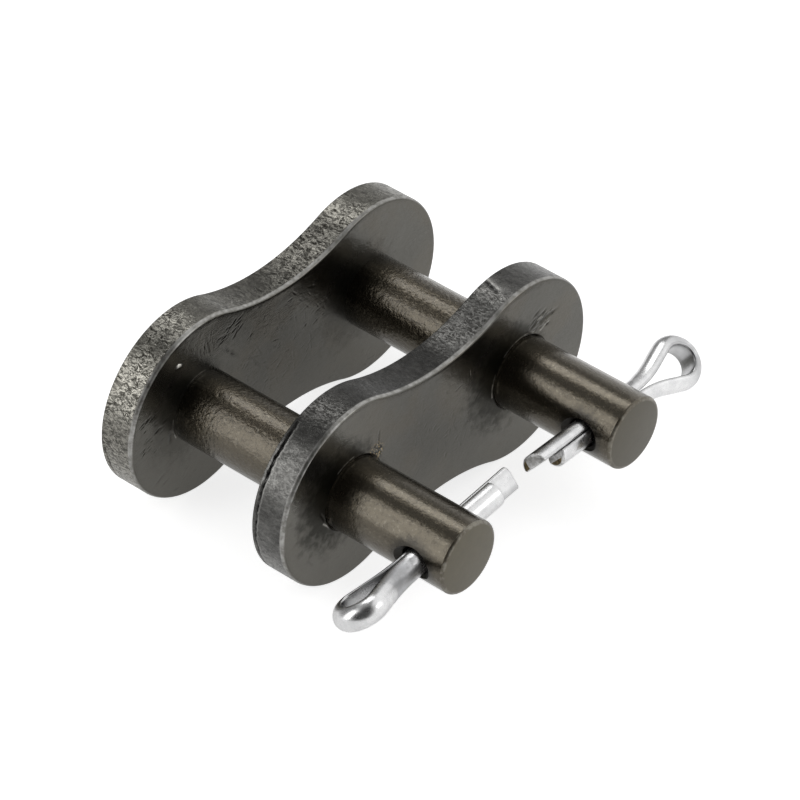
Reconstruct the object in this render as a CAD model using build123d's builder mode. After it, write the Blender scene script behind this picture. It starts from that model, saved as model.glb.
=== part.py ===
from build123d import *
from build123d.topology import SkipClean
from math import atan2, cos, degrees, radians, sin
import os

# Connecting link of a heavy roller chain, closed by two split cotters. Lengths in millimetres.
# X runs along the chain, Y along the pins and Z across the height of the plates.
# The origin is midway between the pin axes, on the chain's centre plane.
# The pins are riveted into the back plate, at +Y, and their free ends point to -Y.
# The cover plate stands pushed in along the pins, inside its place in a made-up chain.

# Chain
pitch = 25.4
working_gap = 24.1  # between the plates of a made-up link

# Plates
plate_thickness = 4.0
lobe_radius = 10.3
waist_half_height = 7.8
drawn_edge = 0.45  # the punch draws the edge down on the -Y side
sheared_edge = 0.15  # and leaves it crisp on the +Y side
slip_clearance = 0.06  # cover plate bore to pin, on the radius
bore_chamfer = 0.2
cover_push_in = 8.3  # from the working place towards the back plate

# Pins
pin_diameter = 7.94
pin_nose = 2.3  # from the wall of the cotter hole to the free end
pin_end_chamfer = 0.35
rivet_height = 1.4
rivet_spread = 0.3  # head past the pin, on the radius
rivet_chamfer = 0.5

# Cotter holes
cotter_hole_radius = 1.6
cotter_mouth_radius = 2.2
countersink_angle = 90.0
cotter_hole_gap = 0.75  # from the cover plate's working place to the hole's wall
hole_tilt_a = 6.2  # pin A is riveted slightly turned
hole_tilt_b = 0.0

# Cotters, bent from half-round wire
wire_radius = 1.35
leg_gap = 0.06
eye_radius = 1.6  # inside the eye
flare_radius = 13.0  # where the legs part at the neck
flare_turn = 19.0  # from the legs to the straight arms of the eye
leg_step = 3.0  # short leg to long leg
long_leg = 15.5  # neck to tip
neck_reach_a = 4.3  # pin axis to neck
neck_reach_b = 4.5
eye_turn_a = -56.0  # each eye's turn about its own cotter
eye_turn_b = -50.5
side_lie_a = -0.15  # cotter A lies to the free end's side of its hole
side_lie_b = 0.0

# Places that follow from these sizes
half_pitch = pitch / 2
pin_radius = pin_diameter / 2
back_plate_y = working_gap / 2  # front face of the back plate
cover_work_y = -working_gap / 2 - plate_thickness  # front face of the cover plate in a made-up link
cover_plate_y = cover_work_y + cover_push_in
cotter_y = cover_work_y - cotter_hole_gap - cotter_hole_radius
pin_end_y = cotter_y - cotter_hole_radius - pin_nose


def plate_outline():
    """Two round lobes about the pins, joined by hollow waists tangent to both."""
    waist_radius = (half_pitch**2 + waist_half_height**2 - lobe_radius**2) / (
        2 * (lobe_radius - waist_half_height)
    )
    waist_centre = waist_half_height + waist_radius
    lobe_turn = degrees(atan2(waist_centre, -half_pitch))
    waist_turn = 2 * (lobe_turn - 90)
    with BuildSketch() as outline:
        with BuildLine():
            lobe = CenterArc((half_pitch, 0), lobe_radius, -lobe_turn, 2 * lobe_turn)
            waist = CenterArc((0, waist_centre), waist_radius, -90 - waist_turn / 2, waist_turn)
            mirror(lobe, about=Plane.YZ)
            mirror(waist, about=Plane.XZ)
        make_face()
    return outline.sketch


def link_plate(front_y, bore_radius, lip=0):
    """One plate behind front_y, with a bore for each pin and a lip broken on the bores' front edges."""
    with BuildPart() as plate:
        with BuildSketch(Plane.XZ.offset(-front_y)):
            add(plate_outline())
            with Locations((-half_pitch, 0), (half_pitch, 0)):
                Circle(bore_radius, mode=Mode.SUBTRACT)
        extrude(amount=-plate_thickness)
        back_face = plate.faces().sort_by(Axis.Y)[-1]
        chamfer(back_face.outer_wire().edges(), sheared_edge)
        front_face = plate.faces().sort_by(Axis.Y)[0]
        chamfer(front_face.outer_wire().edges(), drawn_edge)
        if lip:
            front_face = plate.faces().sort_by(Axis.Y)[0]
            chamfer([wire.edge() for wire in front_face.inner_wires()], lip)
    return plate


def hole_axis(hole_tilt):
    """Direction of a cotter hole, turned about its pin."""
    return Vector(cos(radians(hole_tilt)), 0, sin(radians(hole_tilt)))


def bearing_pin(pin_x, hole_tilt):
    """A plain pin, riveted behind the back plate and cross-drilled near its free end."""
    profile_plane = Plane((pin_x, 0, 0), x_dir=(1, 0, 0), z_dir=(0, 0, 1))
    pin_axis = Axis((pin_x, 0, 0), (0, 1, 0))
    rivet_y = back_plate_y + plate_thickness
    across = hole_axis(hole_tilt)
    mouths = [
        Plane(Vector(pin_x, cotter_y, 0) + side * pin_radius, z_dir=side) for side in (across, -across)
    ]
    # A seam stays where the pin leaves its seat, and another at the chain's centre plane.
    with SkipClean():
        with BuildPart() as pin:
            # Seat and riveted head
            with BuildSketch(profile_plane) as riveted_end:
                with BuildLine():
                    Polyline(
                        (0, back_plate_y),
                        (pin_radius, back_plate_y),
                        (pin_radius, rivet_y),
                        (pin_radius + rivet_spread, rivet_y),
                        (pin_radius + rivet_spread, rivet_y + rivet_height),
                        (0, rivet_y + rivet_height),
                        close=True,
                    )
                make_face()
                chamfer(riveted_end.vertices().group_by(Axis.Y)[-1].sort_by(Axis.X)[-1], rivet_chamfer)
            revolve(axis=pin_axis, clean=False)
            # Free end
            with BuildSketch(profile_plane) as free_end:
                Rectangle(pin_radius, -pin_end_y, align=(Align.MIN, Align.MAX))
                chamfer(free_end.vertices().group_by(Axis.Y)[0].sort_by(Axis.X)[-1], pin_end_chamfer)
            revolve(axis=pin_axis, clean=False)
            # Bearing length
            with BuildSketch(profile_plane):
                Rectangle(pin_radius, back_plate_y, align=Align.MIN)
            revolve(axis=pin_axis, clean=False)
            # Cotter hole, countersunk on both sides
            with Locations(*mouths):
                CounterSinkHole(cotter_hole_radius, cotter_mouth_radius, pin_radius, countersink_angle)
    return pin


def split_cotter(pin_x, out, eye_turn, neck_reach, side_lie):
    """Half-round wire folded into an eye, with its flats together and its legs unspread."""
    loop_normal = Vector(0, -1, 0).rotate(Axis((0, 0, 0), out), eye_turn)
    loop_plane = Plane((pin_x, cotter_y + side_lie, 0), x_dir=out, z_dir=loop_normal)
    half_gap = leg_gap / 2
    flare_rise = flare_radius * (1 - cos(radians(flare_turn)))
    arm_length = (eye_radius * cos(radians(flare_turn)) - half_gap - flare_rise) / sin(radians(flare_turn))
    with BuildPart() as cotter:
        with BuildLine(loop_plane) as bend:
            leg = Line((neck_reach - long_leg, half_gap), (neck_reach, half_gap))
            flare = JernArc(leg @ 1, leg % 1, flare_radius, flare_turn)
            arm = Line(flare @ 1, flare @ 1 + (flare % 1) * arm_length)
            eye = JernArc(arm @ 1, arm % 1, eye_radius, -180 - 2 * flare_turn)
            return_arm = Line(eye @ 1, eye @ 1 + (eye % 1) * arm_length)
            return_flare = JernArc(return_arm @ 1, return_arm % 1, flare_radius, flare_turn)
            Line(return_flare @ 1, (neck_reach - long_leg + leg_step, -half_gap))
        with BuildSketch(Plane(leg @ 0, x_dir=loop_plane.y_dir, z_dir=loop_plane.x_dir)):
            with BuildLine():
                CenterArc((0, 0), wire_radius, -90, 180)
                Line((0, -wire_radius), (0, wire_radius))
            make_face()
        sweep(path=bend.line)
    return cotter


os.makedirs("parts", exist_ok=True)
pieces = {
    "back_plate": link_plate(back_plate_y, pin_radius),
    "cover_plate": link_plate(cover_plate_y, pin_radius + slip_clearance, bore_chamfer),
    "pin_a": bearing_pin(-half_pitch, hole_tilt_a),
    "pin_b": bearing_pin(half_pitch, hole_tilt_b),
    "cotter_a": split_cotter(-half_pitch, -hole_axis(hole_tilt_a), eye_turn_a, neck_reach_a, side_lie_a),
    "cotter_b": split_cotter(half_pitch, hole_axis(hole_tilt_b), eye_turn_b, neck_reach_b, side_lie_b),
}
for name, piece in pieces.items():
    piece.part.label = name
    export_step(piece.part, f"parts/{name}.step")
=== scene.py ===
import random
from collections import namedtuple
from math import asin, atan2, cos, exp, hypot, pi, radians, sin, sqrt

import bmesh
import bpy
from mathutils import Matrix, Vector, noise
from mathutils.geometry import delaunay_2d_cdt


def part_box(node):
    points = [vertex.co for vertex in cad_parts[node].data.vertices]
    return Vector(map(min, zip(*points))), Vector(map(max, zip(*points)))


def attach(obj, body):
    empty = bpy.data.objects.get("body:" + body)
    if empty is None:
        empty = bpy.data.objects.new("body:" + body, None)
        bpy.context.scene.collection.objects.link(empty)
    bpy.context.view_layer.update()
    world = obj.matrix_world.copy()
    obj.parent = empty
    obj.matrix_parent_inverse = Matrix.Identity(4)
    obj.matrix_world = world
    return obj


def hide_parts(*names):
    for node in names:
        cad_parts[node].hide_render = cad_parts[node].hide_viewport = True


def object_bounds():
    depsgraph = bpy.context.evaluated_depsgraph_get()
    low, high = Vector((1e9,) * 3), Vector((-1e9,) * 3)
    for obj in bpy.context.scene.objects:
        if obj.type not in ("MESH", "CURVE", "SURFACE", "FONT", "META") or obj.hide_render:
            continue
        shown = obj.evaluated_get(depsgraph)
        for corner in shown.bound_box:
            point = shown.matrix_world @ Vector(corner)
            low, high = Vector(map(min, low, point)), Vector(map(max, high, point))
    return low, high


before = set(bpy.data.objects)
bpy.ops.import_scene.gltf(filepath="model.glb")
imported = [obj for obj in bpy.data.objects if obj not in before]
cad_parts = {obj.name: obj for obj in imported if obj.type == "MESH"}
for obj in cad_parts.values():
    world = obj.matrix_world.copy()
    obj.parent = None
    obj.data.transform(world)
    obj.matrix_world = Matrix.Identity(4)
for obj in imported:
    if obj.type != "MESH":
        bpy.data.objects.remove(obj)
cad_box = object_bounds()

# Looks of a roller chain's connecting link: blackened steel plates and pins, zinc-plated split cotters.
# Metres, in the frame of the part: X along the chain, Y along the pins, Z up. Marks and materials are in mm.
MM = 0.001

# -------- sizes that follow from the frame
back_low, back_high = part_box("back_plate")
cover_low, cover_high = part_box("cover_plate")
pin_a_low, pin_a_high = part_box("pin_a")
pin_b_low, pin_b_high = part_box("pin_b")

half_pitch = (pin_b_low.x + pin_b_high.x) / 2
lobe_radius = back_high.z
pin_end_y = pin_a_low.y
rivet_end_y = pin_a_high.y

# -------- sizes of the real pieces
PIN_X = 12.7  # mm, for marks and materials
waist_half_height = 7.8 * MM
rolled_edge = 0.5 * MM  # drawn round by the punch, deeper than it is wide
rolled_width = 0.32 * MM
sheared_edge = 0.12 * MM
pin_radius = 3.97 * MM
slip_clearance = 0.06 * MM
bore_lip = 0.18 * MM
pin_end_chamfer = 0.35 * MM
arris = 0.06 * MM
rivet_spread = 0.3 * MM
rivet_rounding = 0.7 * MM
rivet_foot = 0.1 * MM  # the head is narrower by this on the plate
rivet_foot_height = 0.15 * MM
cotter_y = -18.4 * MM
cotter_hole_radius = 1.6 * MM
cotter_mouth_radius = 2.2 * MM
hole_tilt_a = radians(6.2)
hole_tilt_b = 0.0

wire_radius = 1.35 * MM
wire_corner = 0.2 * MM
leg_gap = 0.06 * MM
eye_radius = 1.6 * MM
flare_radius = 13.0 * MM
flare_turn = radians(19.0)
leg_step = 3.0 * MM
long_leg = 15.5 * MM
neck_reach_a = 4.3 * MM
neck_reach_b = 4.5 * MM
eye_turn_a = radians(-56.0)
eye_turn_b = radians(-50.5)
side_lie_a = -0.15 * MM
side_lie_b = 0.0

# The circle that a waist follows
waist_radius = (half_pitch**2 + waist_half_height**2 - lobe_radius**2) / (2 * (lobe_radius - waist_half_height))
waist_centre = waist_half_height + waist_radius


# -------- mesh helpers
def new_object(name, data):
    made = bpy.data.objects.new(name, data)
    bpy.context.scene.collection.objects.link(made)
    return made


def new_mesh(name, vertices, faces):
    mesh = bpy.data.meshes.new(name)
    mesh.from_pydata(vertices, [], faces)
    mesh.update()
    return mesh


def new_piece(name, mesh, body, node, materials):
    """Puts a mesh in the scene in place of a CAD node."""
    piece = new_object(name, mesh)
    for material in materials:
        mesh.materials.append(material)
    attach(piece, body)
    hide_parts(node)


def set_attribute(mesh, name, values):
    """A number for each vertex."""
    layer = mesh.attributes.new(name, "FLOAT", "POINT")
    layer.data.foreach_set("value", values)


def shade_by_angle(mesh, degrees):
    """Smooth shading, but for edges sharper than the angle."""
    mesh.polygons.foreach_set("use_smooth", [True] * len(mesh.polygons))
    work = bmesh.new()
    work.from_mesh(mesh)
    limit = radians(degrees)
    for edge in work.edges:
        edge.smooth = len(edge.link_faces) == 2 and edge.calc_face_angle(0) < limit
    work.to_mesh(mesh)
    work.free()


def unit(angle):
    return Vector((cos(angle), sin(angle)))


def left_of(angle):
    return Vector((-sin(angle), cos(angle)))


def ring_angles(steps, phase=0.0):
    return [2 * pi * (k + phase) / steps for k in range(steps)]


def quarter_turn(steps):
    return [pi / 2 * step / steps for step in range(steps + 1)]


def bands(rings, count, flip=False):
    """Quads between rings of vertices, each given by its first one."""
    quads = []
    for here, there in zip(rings, rings[1:]):
        for k in range(count):
            nxt = (k + 1) % count
            if flip:
                quads.append((here + k, here + nxt, there + nxt, there + k))
            else:
                quads.append((here + k, there + k, there + nxt, here + nxt))
    return quads


def bell(off):
    """1 at 0, falling to 0 on both sides."""
    return exp(-(off**2))


def wobble(x, y, z=0.0):
    """Smooth noise round 0."""
    return noise.noise(Vector((x, y, z)))


def reading(stations, place):
    """The value at a place, from stations of (place, value)."""
    for (low, first), (high, second) in zip(stations, stations[1:]):
        if low <= place <= high:
            return first + (second - first) * (place - low) / (high - low)
    return stations[0][1] if place < stations[0][0] else stations[-1][1]


# -------- plates
LOBE_STEPS = 260
WAIST_STEPS = 70
BORE_STEPS = 128
ROLLED_STEPS = 7
SHEARED_STEPS = 3
WALL_ROWS = 14
FACE_GRID = 0.45 * MM
PLATE_ATTRIBUTES = ("wall", "mottle", "tone_and_light", "rubbed_and_lit_rim", "fold_light_and_shade", "scar", "bare_and_glinting")


def plate_outline():
    """Points round the plate with their outward normals: two lobes joined by hollow waists."""
    lobe_turn = atan2(waist_centre, -half_pitch)
    waist_turn = lobe_turn - pi / 2
    points = []
    for side, start in ((1, -lobe_turn), (-1, pi - lobe_turn)):
        for step in range(LOBE_STEPS):
            normal = unit(start + 2 * lobe_turn * step / LOBE_STEPS)
            points.append((Vector((side * half_pitch, 0)) + normal * lobe_radius, normal))
        for step in range(WAIST_STEPS):
            inward = unit(side * (-pi / 2) + waist_turn - 2 * waist_turn * step / WAIST_STEPS)
            points.append((Vector((0, side * waist_centre)) + inward * waist_radius, -inward))
    return points


# How mottled a plate's sheared wall is, at distances round it in mm from the right lobe's lower tangent
BACK_MOTTLE = ((28, 0.3), (34, 0.4), (37, 0.8), (39, 1), (48, 1), (51, 0.8), (54, 0.55), (59, 0.4),
               (62, 0.6), (64, 1), (75, 1), (77, 0.7), (80, 0.8), (83, 0.45), (95, 0.5), (105, 0.9))
COVER_MOTTLE = ((28, 0.3), (37.8, 0.2), (38.0, 0.65), (46, 0.65), (48, 0.45), (51, 0.25), (60, 0.25), (62, 0.5),
                (64, 0.75), (67, 0.4), (70, 0.15), (75, 0.12), (78, 0.12), (95, 0.4), (105, 0.7))

# How light each wall is, against its own mean, at the same distances: its own tone together with painted light
# and shade
BACK_TONE_AND_LIGHT = ((28, 1.1), (38, 1.15), (42, 0.6), (46, 0.75), (50, 0.7), (57, 1.0), (62, 1.2), (66, 0.7),
             (70, 1.4), (74, 1.3), (78, 1.0), (84, 1.6), (95, 1.3), (105, 1.0))
COVER_TONE_AND_LIGHT = ((28, 1.1), (38, 1.05), (42, 0.6), (46, 0.75), (48, 0.4), (52, 0.65), (58, 0.55), (62, 0.7),
              (66, 0.5), (70, 1.15), (73, 1.25), (76, 0.85), (80, 1.05), (83, 1.6), (95, 1.3), (105, 1.0))

# Where a scored line crosses the cover plate's wall, at the same distances
COVER_NOTCH = 37.75

# Across the rounded front edge, by the inset as a share of its width: how bare it is, its paleness also a
# painted highlight, and how dirty
RIM_RUBBED_AND_LIT = ((0.0, 0.3), (0.02, 0.7), (0.1, 1.0), (0.22, 0.85), (0.38, 0.3), (0.57, 0.0), (1.0, 0.0))
RIM_DIRT = ((0.0, 0.0), (0.3, 0.0), (0.5, 0.5), (0.78, 0.6), (1.0, 0.2))
# Round the left lobe's top it is painted bare and pale further in, as a highlight: at which distances, and how
# far in
RIM_BARE_AND_LIT = ((62, 0), (66, 1), (77, 1), (81, 0))
RIM_INNER = ((0.0, 0.0), (0.2, 0.1), (0.42, 0.9), (0.62, 0.8), (0.85, 0.15), (1.0, 0.0))

# The walls have a fold near the back edge, round the left end: its start and end in degrees
COVER_FOLD = (113, 236)
BACK_FOLD = (184, 238)
fold_from_back = 0.62 * MM
fold_width = 0.11 * MM
fold_depth = 0.16 * MM
FOLD_ROWS = 16
FOLD_ROWS_SPAN = 10  # in widths of the fold

# Marks on the front faces in mm: each is a stroke from x, z to x, z, with its width, its depth and its shine:
# bare metal, and on the arcs round the pins a painted highlight
COVER_MARKS = [
    (14.01, 4.67, 16.28, 5.83, 0.16, 0.07, 0.0), (15.14, 4.65, 17.93, 4.89, 0.20, 0.10, 0.0),
    (15.11, 5.10, 15.71, 5.25, 0.09, -0.01, 0.3), (15.61, 3.62, 16.90, 3.99, 0.10, -0.015, 0.35),
    (14.29, 5.95, 15.51, 6.39, 0.14, 0.03, 0.0), (14.90, 4.15, 17.20, 3.62, 0.12, 0.04, 0.0),
    (13.15, 4.45, 14.03, 3.95, 0.14, 0.04, 0.0), (13.60, 5.30, 15.00, 5.60, 0.10, 0.03, 0.0),
    (-9.08, 5.55, -9.20, 3.60, 0.10, 0.05, 0.0), (-9.85, 3.20, -9.20, 2.90, 0.12, 0.06, 0.0),
    (-9.30, 3.40, -8.75, 2.10, 0.10, 0.05, 0.0), (-8.95, 3.60, -8.60, 2.70, 0.07, -0.01, 0.2),
    (-17.50, 0.17, -16.95, -0.90, 0.12, 0.05, 0.0),
    (-17.10, -1.30, -16.11, -2.34, 0.10, -0.02, 0.7), (-16.60, -2.90, -15.90, -3.40, 0.10, 0.04, 0.0),
    (-19.40, -4.60, -18.60, -5.60, 0.14, 0.025, 0.0),
]
BACK_MARKS = [
    (-16.20, 7.02, -15.75, 6.97, 0.15, 0.17, 1.0), (-12.48, 8.70, -11.73, 6.25, 0.16, 0.03, 0.0),
    (-8.95, 4.90, -7.76, 3.46, 0.22, 0.05, 0.0), (-9.50, 5.60, -8.90, 4.70, 0.16, 0.04, 0.0),
    (-5.98, 2.43, -4.15, -0.15, 0.16, 0.03, 0.0), (-5.20, 3.60, -3.90, 1.30, 0.12, 0.03, 0.0),
    (-19.65, -6.02, -18.21, -5.36, 0.18, 0.03, 0.0), (-18.60, -6.70, -17.60, -6.30, 0.14, 0.02, 0.0),
    (-17.35, -0.70, -17.35, -1.97, 0.20, 0.07, 0.0),
]
MARK_REACH = 0.8  # past its ends
MARK_STEP = 0.12
MARK_OFFSETS = (-2.6, -1.7, -1.0, -0.5, 0.0, 0.5, 1.0, 1.7, 2.6)  # of its points to the side, in widths
MARK_HALF_WIDTH = 3  # in widths, kept free of the grid's points
MARK_CELL = 0.05  # holds one point at most
SCUFF_HALF_LENGTH = (0.2, 0.65)
SCUFF_WIDTH = (0.07, 0.13)
ARC_STEP = 6  # degrees
ARC_WIDTH = 0.07
ARC_RISE = -0.012


def scattered_marks(count, centre, spread, lean, swing, deepest):
    """Short scuffs about a place, leaning in degrees from the chain's line, all in mm."""
    marks = []
    for _ in range(count):
        x = centre[0] + random.uniform(-spread[0], spread[0])
        z = centre[1] + random.uniform(-spread[1], spread[1])
        angle = radians(lean + random.uniform(-swing, swing))
        half = random.uniform(*SCUFF_HALF_LENGTH)
        off_x, off_z = half * cos(angle), half * sin(angle)
        marks.append((x - off_x, z - off_z, x + off_x, z + off_z, random.uniform(*SCUFF_WIDTH),
                      deepest * random.uniform(0.4, 1.0), 0.0))
    return marks


def arc_marks(centre_x, radius, start, end, bare_and_glinting):
    """Strokes that follow a circle about a pin, from one angle in degrees to another, their shine a painted
    highlight of the bore's edge.
    """
    count = max(2, int(abs(end - start) / ARC_STEP))
    corners = [radians(start + (end - start) * k / count) for k in range(count + 1)]
    spots = [(centre_x + radius * cos(a), radius * sin(a)) for a in corners]
    return [(*first, *second, ARC_WIDTH, ARC_RISE, bare_and_glinting * random.uniform(0.15, 1.0))
            for first, second in zip(spots, spots[1:])]


random.seed(7)
for marks, *scatter in (
    (BACK_MARKS, 24, (-8.6, 7.0), (1.9, 0.9), 25, 25, 0.032),
    (BACK_MARKS, 12, (-11.9, 7.4), (1.2, 1.1), 105, 20, 0.028),
    (BACK_MARKS, 34, (-19.7, 0.6), (1.9, 2.4), 24, 14, 0.028),
    (BACK_MARKS, 60, (-1.5, 1.5), (5.2, 4.8), 60, 80, 0.024),
    (BACK_MARKS, 12, (5.5, 3.5), (2.6, 3.0), 80, 60, 0.02),
    (COVER_MARKS, 44, (1.2, 0.2), (4.8, 4.4), 65, 70, 0.02),
    (COVER_MARKS, 16, (15.6, 4.6), (1.6, 0.8), 22, 20, 0.045),
):
    marks.extend(scattered_marks(*scatter))
# Painted highlights along the bores' edges
for marks, *arc in (
    (COVER_MARKS, PIN_X, 4.42, 66, 128, 0.9),
    (COVER_MARKS, PIN_X, 4.42, 155, 190, 0.8),
    (COVER_MARKS, -PIN_X, 4.5, 92, 122, 0.9),
    (BACK_MARKS, -PIN_X, 4.25, 84, 120, 0.7),
    (BACK_MARKS, -PIN_X, 4.25, 172, 205, 0.6),
):
    marks.extend(arc_marks(*arc))


def along_mark(mark, x, z):
    """How far along a mark, as a share of its length, and how far from it a place is."""
    x0, z0, x1, z1 = mark[:4]
    run_x, run_z = x1 - x0, z1 - z0
    share = ((x - x0) * run_x + (z - z0) * run_z) / (run_x**2 + run_z**2)
    held = min(1.0, max(0.0, share))
    return held, hypot(x - x0 - held * run_x, z - z0 - held * run_z)


def mark_at(marks, x, z):
    """Depth and shine of the marks at a place on a face, all in mm."""
    depth = bare_and_glinting = 0.0
    for mark in marks:
        x0, z0, x1, z1, width, deep, bright = mark
        if not min(x0, x1) - MARK_REACH < x < max(x0, x1) + MARK_REACH:
            continue
        if not min(z0, z1) - MARK_REACH < z < max(z0, z1) + MARK_REACH:
            continue
        held, away = along_mark(mark, x, z)
        away += 0.5 * width * wobble(x * 1.7, z * 1.7, x0)
        body = bell(away / width)
        if deep > 0:
            # A scratch has low lips beside it, and runs out at its ends unless it is bright
            lips = bell((away - 1.9 * width) / (0.6 * width))
            ends = 1.0 if bright else 0.35 + 0.65 * sin(pi * held)
            depth += ends * deep * (body - 0.25 * lips)
        else:
            depth += deep * body
        bare_and_glinting = max(bare_and_glinting, bright * body)
    return depth, bare_and_glinting


def mark_points(marks):
    """Points along and beside the marks, in mm, close enough to carry their shape."""
    points = []
    for x0, z0, x1, z1, width, _, _ in marks:
        run = hypot(x1 - x0, z1 - z0)
        away_x, away_z = -(z1 - z0) / run, (x1 - x0) / run
        steps = max(2, int(run / MARK_STEP))
        for k in range(-1, steps + 2):
            for offset in MARK_OFFSETS:
                share = k / steps
                points.append((x0 + (x1 - x0) * share + away_x * offset * width,
                               z0 + (z1 - z0) * share + away_z * offset * width))
    return points


def from_pins(point):
    """How far a place on a plate is from the nearer pin's axis."""
    return min((point - Vector((side * half_pitch, 0))).length for side in (-1, 1))


def inside_outline(point, margin):
    """Whether a point lies inside the plate by at least the margin."""
    if from_pins(point) < lobe_radius - margin:
        return True
    tangent_x = half_pitch * waist_radius / (waist_radius + lobe_radius)
    from_waist = (Vector((point.x, abs(point.y))) - Vector((0, waist_centre))).length
    return abs(point.x) < tangent_x and from_waist > waist_radius + margin and abs(point.y) < waist_centre


def edge_profile(front_y, back_y, extra_rows):
    """Inset and depth of each row, from the front face round the wall to the back face."""
    wall_start = front_y + rolled_edge
    wall_end = back_y - sheared_edge
    depths = [wall_start + (wall_end - wall_start) * step / WALL_ROWS for step in range(1, WALL_ROWS)]
    rows = [(rolled_width * (1 - sin(angle)), front_y + rolled_edge * (1 - cos(angle)))
            for angle in quarter_turn(ROLLED_STEPS)]
    rows += [(0.0, depth) for depth in sorted(depths + extra_rows)]
    rows += [(sheared_edge * (1 - cos(angle)), wall_end + sheared_edge * sin(angle))
             for angle in quarter_turn(SHEARED_STEPS)]
    return rows


def face_fill(outer, bores, marks):
    """Triangles between a plate's outline and its bores, on an even grid that is finer at the marks."""
    points = list(outer)
    loops = [range(len(outer))]
    for bore in bores:
        loops.append(range(len(points), len(points) + len(bore)))
        points += bore
    edges = [(loop[k], loop[(k + 1) % len(loop)]) for loop in loops for k in range(len(loop))]
    on_bores = range(len(outer), len(points))
    bore_radius = (bores[0][0] - Vector((half_pitch, 0))).length

    def clear(point, from_bore, from_edge):
        return from_pins(point) >= bore_radius + from_bore and inside_outline(point, rolled_width + from_edge)

    margin = FACE_GRID * 0.6
    rows = int(lobe_radius / FACE_GRID) + 1
    columns = int((half_pitch + lobe_radius) / FACE_GRID) + 1
    for row in range(-rows, rows + 1):
        for column in range(-columns, columns + 1):
            point = Vector(((column + 0.5 * (row % 2)) * FACE_GRID, row * FACE_GRID))
            on_marks = (along_mark(mark, *(point / MM))[1] < MARK_HALF_WIDTH * mark[4] for mark in marks)
            if clear(point, margin, margin) and not any(on_marks):
                points.append(point)
    taken = set()
    for x, z in mark_points(marks):
        point = Vector((x, z)) * MM
        cell = (round(x / MARK_CELL), round(z / MARK_CELL))
        if cell not in taken and clear(point, 0.05 * MM, 0.1 * MM):
            taken.add(cell)
            points.append(point)
    found = delaunay_2d_cdt(points, edges, [], 2, 1e-9)
    # The bores stay open
    return found[0], [corners for corners in found[2] if not all(k in on_bores for k in corners)]


def notch_amount(length, depth, back_y, notch):
    """A scored line across the back part of the wall, painted dark as shade, with a pale one beside it as a
    painted highlight, like fold_amount.
    """
    if notch is None or depth < back_y - 2.1 * MM:
        return 0.0
    off = length / MM - notch - 0.25 * (back_y - depth) / MM
    return 0.8 * bell(off / 0.13) - 0.7 * bell((off + 0.4) / 0.16)


def fold_amount(point, depth, back_y, fold_light_and_shade):
    """How deep a point of a plate's wall lies in its fold, up to 1, or below 0 on the fold's lip: painted dark
    as shade in the fold and pale as a highlight on the lip.
    """
    angle = atan2(point.y, point.x + half_pitch) % (2 * pi)
    start, end = (radians(degrees) for degrees in fold_light_and_shade)
    if not start < angle < end:
        return 0.0
    run = angle - start
    # It starts nearer the back edge, comes forward, drifts back again, and wanders
    wander = 0.12 * MM * wobble(angle * 9, 0.3) + 0.07 * MM * wobble(angle * 31, 0.7)
    rise = 0.22 * MM * max(0.0, 1 - run / 0.26)
    centre = back_y - fold_from_back + wander + rise + 0.2 * MM * min(1.0, run / 1.2)
    # It fades out at its ends, and its depth and width vary
    ends = min(1.0, run / 0.08, (end - angle) / 0.15)
    broken = 0.8 + 0.7 * wobble(angle * 17, 2.0)
    width = fold_width * (1 + 0.6 * wobble(angle * 23, 5.0))
    lip = 0.5 * bell((depth - centre + 2.2 * width) / (0.8 * width))
    return ends * (broken * bell((depth - centre) / width) - lip)


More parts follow.
